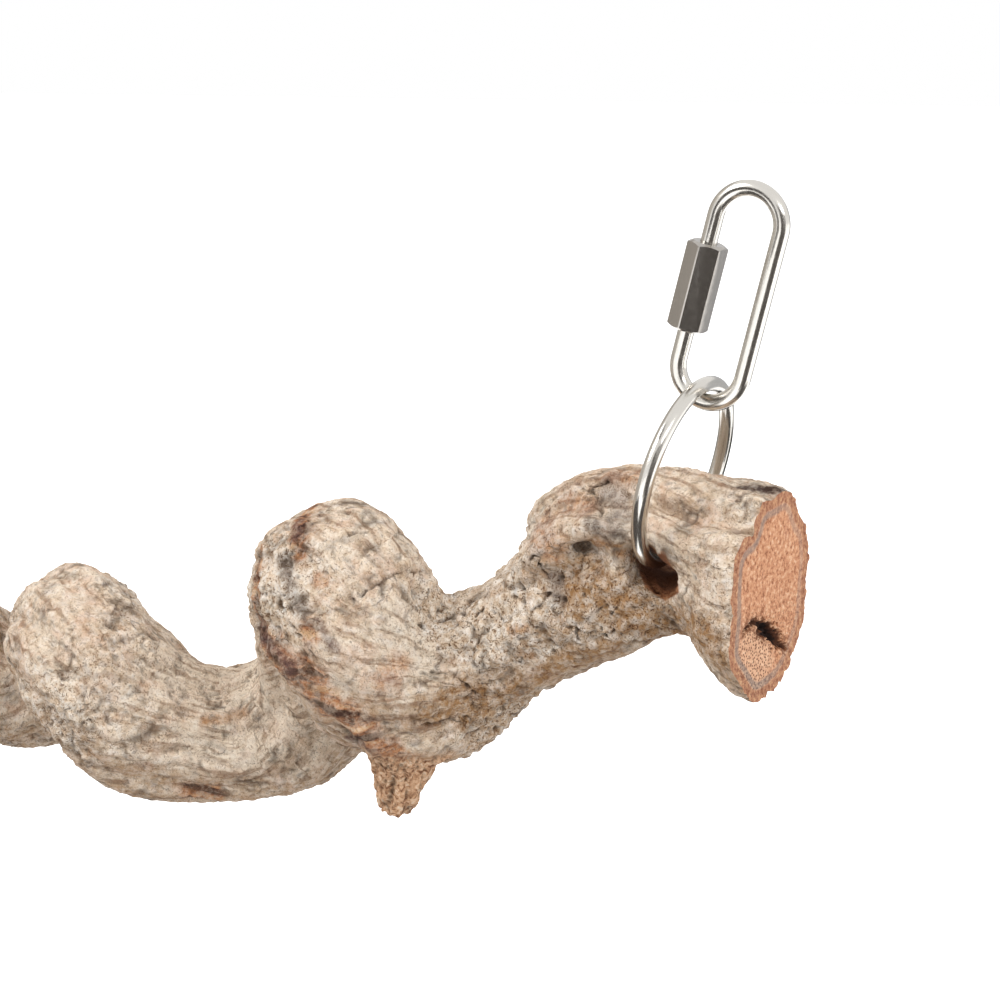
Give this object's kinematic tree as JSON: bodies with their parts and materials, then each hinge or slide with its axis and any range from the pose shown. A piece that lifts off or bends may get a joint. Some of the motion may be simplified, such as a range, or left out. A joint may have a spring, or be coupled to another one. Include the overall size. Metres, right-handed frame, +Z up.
{
  "type": "hanging bird perch",
  "caption": "Gnarled corkscrew branch perch, drilled at each end for a steel ring that carries a screw-gate quick link for hanging it in a cage.",
  "frame": {"origin": "crown of the right link's bow, on the inside where a cage bar bears", "axes": "+X along the line through both crowns towards the right end, +Z up, +Y along the drilled holes to the back"},
  "size_m": [0.3234, 0.0637, 0.1697],
  "materials": {
    "bark": "rough bark",
    "ring_steel": "polished",
    "link_steel": "polished",
    "nut_steel": "bright turned"
  },
  "bodies": {
    "branch": {"perch_branch": "bark"},
    "right_ring": {"hanging_ring_right": "ring_steel"},
    "right_link": {"quick_link_right": "link_steel"},
    "right_nut": {"link_nut_right": "nut_steel"},
    "left_ring": {"hanging_ring_left": "ring_steel"},
    "left_link": {"quick_link_left": "link_steel"},
    "left_nut": {"link_nut_left": "nut_steel"}
  },
  "joints": [
    {"name": "right_ring_swing", "type": "hinge", "parent": "branch", "child": "right_ring", "pos_m": [-0.02222, 0, -0.08529], "axis": [0, 1, 0], "range_deg": [-60, 20]},
    {"name": "right_link_swing", "type": "hinge", "parent": "right_ring", "child": "right_link", "pos_m": [-0.01131, 0, -0.0434], "axis": [0, 1, 0], "range_deg": [-75, 60]},
    {"name": "right_nut_slide", "type": "slide", "parent": "right_link", "child": "right_nut", "axis": [-0.2521, 0, -0.9677], "range_m": [0, 0.0064]},
    {"name": "left_ring_swing", "type": "hinge", "parent": "branch", "child": "left_ring", "pos_m": [-0.28222, 0, -0.08529], "axis": [0, 1, 0], "range_deg": [-20, 60]},
    {"name": "left_link_swing", "type": "hinge", "parent": "left_ring", "child": "left_link", "pos_m": [-0.29313, 0, -0.0434], "axis": [0, 1, 0], "range_deg": [-60, 75]},
    {"name": "left_nut_slide", "type": "slide", "parent": "left_link", "child": "left_nut", "axis": [0.2521, 0, -0.9677], "range_m": [0, 0.0064]}
  ]
}
